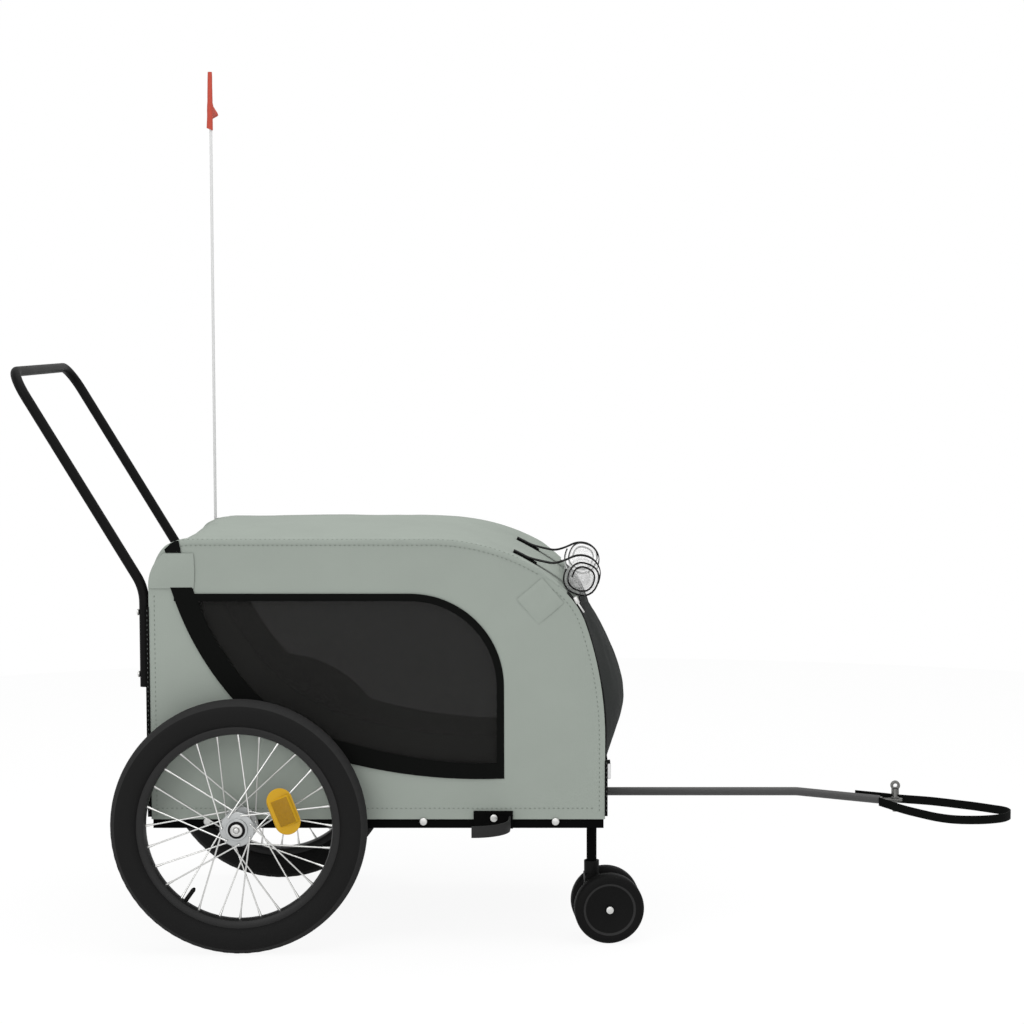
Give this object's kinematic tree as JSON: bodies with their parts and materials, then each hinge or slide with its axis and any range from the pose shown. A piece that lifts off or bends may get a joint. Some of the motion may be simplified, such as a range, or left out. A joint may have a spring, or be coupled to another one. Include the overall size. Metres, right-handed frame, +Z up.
{
  "type": "dog bike trailer",
  "caption": "Fabric-bodied dog bike trailer: spoked wheels at the rear, swivelling front castor, push handle, drawbar with hitch pin, rolled rain cover, mesh windows and safety flag.",
  "frame": {"origin": "on the ground, at the middle of the trailer's length and width", "axes": "+X forwards along the drawbar, +Y to the trailer's left, +Z up"},
  "size_m": [1.6082, 0.643, 1.413],
  "materials": {
    "frame_black": "satin",
    "handle_black": "satin",
    "fabric_sage": "matte",
    "fabric_black": "matte",
    "mesh_black": "matte",
    "floor_board": "matte",
    "clear_pvc": "gloss",
    "bolt_steel": "satin",
    "axle_steel": "satin",
    "hub_silver": "satin",
    "rim_black": "satin",
    "tyre_black": "matte",
    "tube_rubber": "matte",
    "spoke_steel": "polished",
    "reflector_amber": "gloss",
    "plastic_black": "matte",
    "castor_rubber": "matte",
    "drawbar_grey": "satin",
    "bearing_dark": "satin",
    "pole_white": "gloss",
    "pennant_orange": "matte"
  },
  "bodies": {
    "chassis": {"rail_right": "frame_black", "rail_left": "frame_black", "floor_crossbars": "frame_black", "floor_panel": "floor_board", "side_hoop_right": "frame_black", "side_hoop_left": "frame_black", "roof_bows": "frame_black", "side_panel_right": "fabric_sage", "side_panel_left": "fabric_sage", "window_mesh_right": "mesh_black", "window_mesh_left": "mesh_black", "roof_panel": "fabric_sage", "rear_panel": "fabric_sage", "rear_pocket": "fabric_black", "front_panel": "fabric_sage", "corner_tabs": "fabric_sage", "rain_cover_roll": "clear_pvc", "cover_straps": "fabric_black", "handle_bar": "handle_black", "handle_bolts": "bolt_steel", "wheel_bumper_right": "frame_black", "wheel_bumper_left": "frame_black", "frame_bolts": "bolt_steel", "axle_receiver_right": "frame_black", "axle_receiver_left": "frame_black", "axle_right": "axle_steel", "axle_left": "axle_steel", "flag_socket": "plastic_black", "drawbar": "drawbar_grey", "hitch_tongue": "axle_steel", "safety_strap": "fabric_black", "castor_leg": "frame_black"},
    "wheel_right": {"tyre_right": "tyre_black", "inner_tube_right": "tube_rubber", "rim_right": "rim_black", "spokes_right": "spoke_steel", "hub_shell_right": "hub_silver", "hub_bearings_right": "bearing_dark", "reflector_right": "reflector_amber", "valve_right": "tube_rubber"},
    "wheel_left": {"tyre_left": "tyre_black", "inner_tube_left": "tube_rubber", "rim_left": "rim_black", "spokes_left": "spoke_steel", "hub_shell_left": "hub_silver", "hub_bearings_left": "bearing_dark", "reflector_left": "reflector_amber", "valve_left": "tube_rubber"},
    "axle_button_right": {"axle_button_right": "axle_steel"},
    "axle_button_left": {"axle_button_left": "axle_steel"},
    "castor_fork": {"castor_hood": "plastic_black", "castor_axle": "bolt_steel"},
    "castor_wheel_right": {"castor_wheel_right": "castor_rubber"},
    "castor_wheel_left": {"castor_wheel_left": "castor_rubber"},
    "front_door": {"front_door": "mesh_black"},
    "hitch_pin": {"hitch_pin": "axle_steel"},
    "flag": {"flag_pole": "pole_white", "flag_pennant": "pennant_orange"}
  },
  "joints": [
    {"name": "wheel_spin_right", "type": "hinge", "parent": "chassis", "child": "wheel_right", "pos_m": [-0.4418, -0.27, 0.2], "axis": [0, 1, 0], "continuous": true},
    {"name": "wheel_spin_left", "type": "hinge", "parent": "chassis", "child": "wheel_left", "pos_m": [-0.4418, 0.27, 0.2], "axis": [0, 1, 0], "continuous": true},
    {"name": "axle_button_push_right", "type": "slide", "parent": "chassis", "child": "axle_button_right", "axis": [0, 1, 0], "range_m": [0, 0.003], "stiffness_N_per_m": 600},
    {"name": "axle_button_push_left", "type": "slide", "parent": "chassis", "child": "axle_button_left", "axis": [0, -1, 0], "range_m": [0, 0.003], "stiffness_N_per_m": 600},
    {"name": "castor_swivel", "type": "hinge", "parent": "chassis", "child": "castor_fork", "pos_m": [0.1082, -0.177, 0.1], "axis": [0, 0, 1], "continuous": true},
    {"name": "castor_wheel_spin_right", "type": "hinge", "parent": "castor_fork", "child": "castor_wheel_right", "pos_m": [0.13309, -0.17473, 0.0555], "axis": [-0.0906, 0.9959, 0], "continuous": true},
    {"name": "castor_wheel_spin_left", "type": "hinge", "parent": "castor_fork", "child": "castor_wheel_left", "pos_m": [0.13309, -0.17473, 0.0555], "axis": [-0.0906, 0.9959, 0], "continuous": true},
    {"name": "front_door_swing", "type": "hinge", "parent": "chassis", "child": "front_door", "pos_m": [0.0876, 0, 0.5367], "axis": [0, -1, 0], "range_deg": [0, 75]},
    {"name": "hitch_pin_lift", "type": "slide", "parent": "chassis", "child": "hitch_pin", "axis": [0, 0, 1], "range_m": [0, 0.018]},
    {"name": "flag_lift", "type": "slide", "parent": "chassis", "child": "flag", "axis": [0, 0, 1], "range_m": [0, 0.045]}
  ]
}
